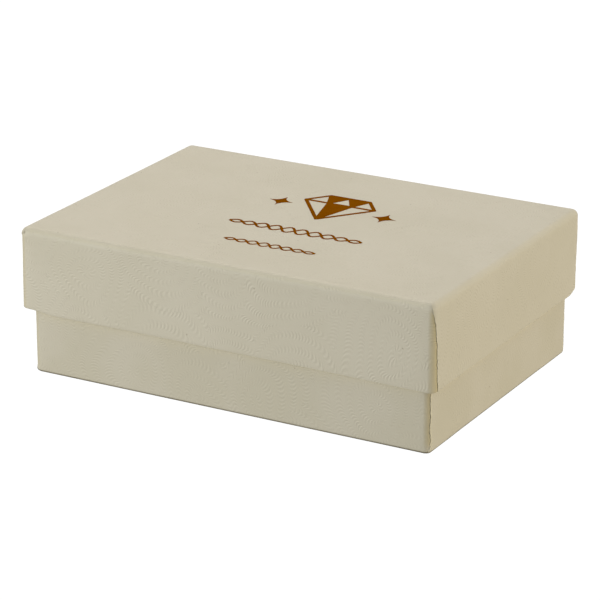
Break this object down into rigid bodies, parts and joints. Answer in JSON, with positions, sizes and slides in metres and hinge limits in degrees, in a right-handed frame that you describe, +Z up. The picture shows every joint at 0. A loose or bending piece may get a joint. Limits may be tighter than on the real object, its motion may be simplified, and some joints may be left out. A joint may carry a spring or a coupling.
{
  "type": "jewelry gift box",
  "caption": "Two-piece rigid paperboard gift box for jewelry: embossed-paper-wrapped base with a cotton pad, and a telescoping lift-off lid with a foil ornament.",
  "frame": {"origin": "centre of the base's underside, on the surface that the box stands on", "axes": "+X along the long side to the right, +Y along the short side to the rear, +Z up out of the lid"},
  "size_m": [0.082, 0.058, 0.0275],
  "materials": {
    "wrap_paper": "satin",
    "chipboard": "matte",
    "stay_tape": "matte",
    "cotton": "matte",
    "foil": "satin"
  },
  "bodies": {
    "base": {"base_board": "chipboard", "base_stay_front_left": "stay_tape", "base_stay_front_right": "stay_tape", "base_stay_rear_right": "stay_tape", "base_stay_rear_left": "stay_tape", "base_wrap": "wrap_paper"},
    "pad": {"cotton_pad": "cotton"},
    "lid": {"lid_board": "chipboard", "lid_stay_front_left": "stay_tape", "lid_stay_front_right": "stay_tape", "lid_stay_rear_right": "stay_tape", "lid_stay_rear_left": "stay_tape", "lid_wrap": "wrap_paper", "foil_gem": "foil", "foil_sparkle_left": "foil", "foil_sparkle_right": "foil", "foil_band_wide": "foil", "foil_band_narrow": "foil"}
  },
  "joints": [
    {"name": "lid_lift", "type": "slide", "parent": "base", "child": "lid", "axis": [0, 0, 1], "range_m": [0, 0.045]},
    {"name": "pad_lift", "type": "slide", "parent": "base", "child": "pad", "axis": [0, 0, 1], "range_m": [0, 0.011]}
  ]
}
